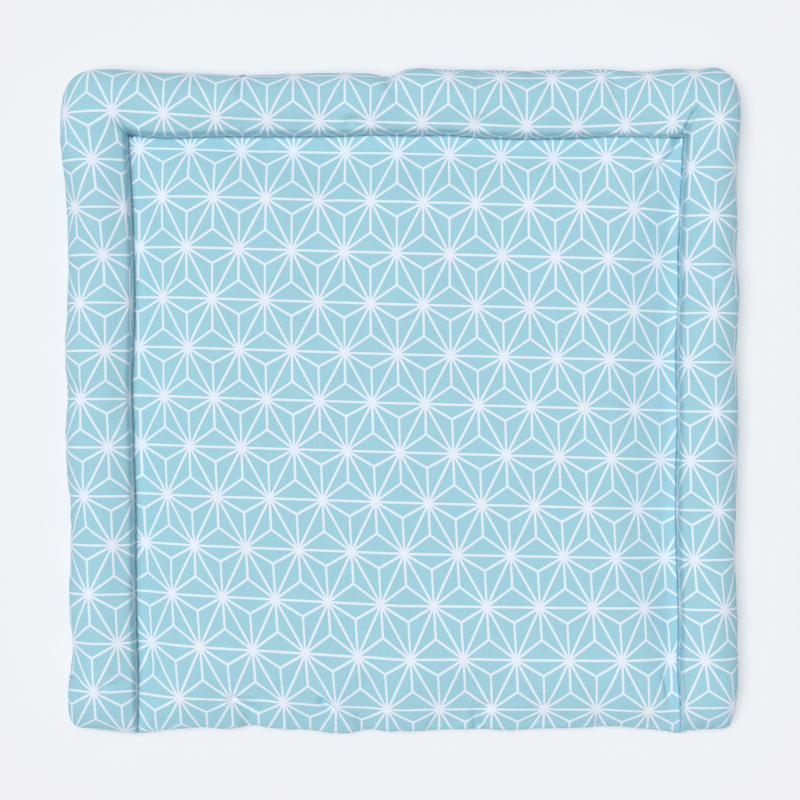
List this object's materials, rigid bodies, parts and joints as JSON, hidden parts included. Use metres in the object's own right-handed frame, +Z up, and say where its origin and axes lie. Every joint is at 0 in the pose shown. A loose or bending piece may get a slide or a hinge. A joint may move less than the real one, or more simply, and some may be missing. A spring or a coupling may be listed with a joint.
{
  "type": "changing mat",
  "caption": "Padded changing mat with a stitched-off raised bolster on three sides and a lower lying panel open to the front, in star-lattice printed cotton.",
  "frame": {"origin": "middle of the overall box in plan, on the surface that the mat lies on", "axes": "+X to the right across the mat, +Y from the open front edge to the back bolster, +Z up out of the lying panel"},
  "size_m": [0.782, 0.766, 0.062],
  "materials": {
    "printed_cotton": "matte plain-weave cotton, aqua ground with a white hemp-leaf lattice print"
  },
  "bodies": {
    "root": {"filled_cover": "printed_cotton"}
  },
  "joints": []
}
